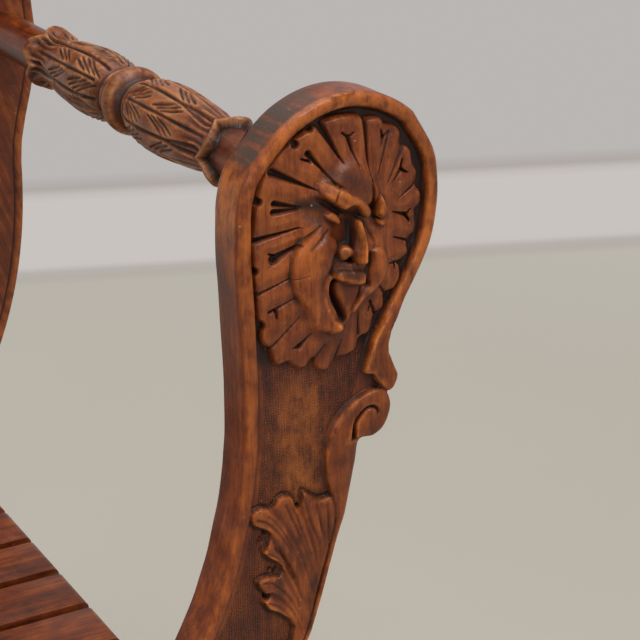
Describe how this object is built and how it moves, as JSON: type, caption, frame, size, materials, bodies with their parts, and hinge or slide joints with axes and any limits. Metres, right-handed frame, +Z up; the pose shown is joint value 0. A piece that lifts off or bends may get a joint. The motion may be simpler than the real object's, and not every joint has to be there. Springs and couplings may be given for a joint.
{
  "type": "savonarola chair",
  "caption": "Folding X-frame walnut armchair with interleaved S-curved members, carved round mask heads on the arms, turned leaf rails and a lift-off crest board.",
  "frame": {"origin": "on the floor under the middle of the chair", "axes": "+Z up, -Y towards the front of the chair, +X to the right of someone who faces it"},
  "size_m": [0.71, 0.592, 0.9634],
  "materials": {
    "plain_walnut": "worn wax polish",
    "carved_walnut": "wax polish with dark patina in the recesses and golden worn edges",
    "seat_walnut": "worn wax polish",
    "peg_wood": "dark end grain",
    "rod_iron": "dark forged iron"
  },
  "bodies": {
    "pivot": {"pivot_rod": "rod_iron", "rosette_boss_front": "carved_walnut", "rosette_boss_rear": "carved_walnut", "pivot_spacers": "plain_walnut"},
    "right_frame": {"front_board_right": "carved_walnut", "rear_board_right": "plain_walnut", "leg_slat_right_1": "plain_walnut", "leg_slat_right_2": "plain_walnut", "leg_slat_right_3": "plain_walnut", "leg_slat_right_4": "plain_walnut", "leg_slat_right_5": "plain_walnut", "runner_left": "plain_walnut", "seat_bearer_right": "plain_walnut", "bearer_pegs_right": "peg_wood", "arm_rail_right": "carved_walnut"},
    "left_frame": {"front_board_left": "carved_walnut", "rear_board_left": "plain_walnut", "leg_slat_left_1": "plain_walnut", "leg_slat_left_2": "plain_walnut", "leg_slat_left_3": "plain_walnut", "leg_slat_left_4": "plain_walnut", "runner_right": "plain_walnut", "seat_bearer_left": "plain_walnut", "bearer_pegs_left": "peg_wood", "arm_rail_left": "carved_walnut", "seat_hinge_rod": "rod_iron"},
    "seat": {"seat_slat_1": "seat_walnut", "seat_slat_2": "seat_walnut", "seat_slat_3": "seat_walnut", "seat_slat_4": "seat_walnut", "seat_slat_5": "seat_walnut", "seat_slat_6": "seat_walnut", "seat_slat_7": "seat_walnut", "seat_batten_left": "seat_walnut", "seat_batten_right": "seat_walnut"},
    "back": {"crest_board": "carved_walnut"}
  },
  "joints": [
    {"name": "right_fold", "type": "hinge", "parent": "pivot", "child": "right_frame", "pos_m": [0, 0, 0.24], "axis": [0, -1, 0], "range_deg": [0, 20]},
    {"name": "left_fold", "type": "hinge", "parent": "pivot", "child": "left_frame", "pos_m": [0, 0, 0.24], "axis": [0, 1, 0], "range_deg": [0, 20]},
    {"name": "seat_lift", "type": "hinge", "parent": "left_frame", "child": "seat", "pos_m": [-0.20115, 0, 0.402], "axis": [0, -1, 0], "range_deg": [0, 92.1]},
    {"name": "crest_lift", "type": "slide", "parent": "pivot", "child": "back", "axis": [0, 0, 1], "range_m": [0, 0.21]}
  ],
  "couplings": [
    {"joint": "left_fold", "follows": "right_fold", "ratio": 1},
    {"joint": "seat_lift", "follows": "right_fold", "ratio": 4.6},
    {"joint": "crest_lift", "follows": "right_fold", "m_per_rad": 0.6}
  ]
}
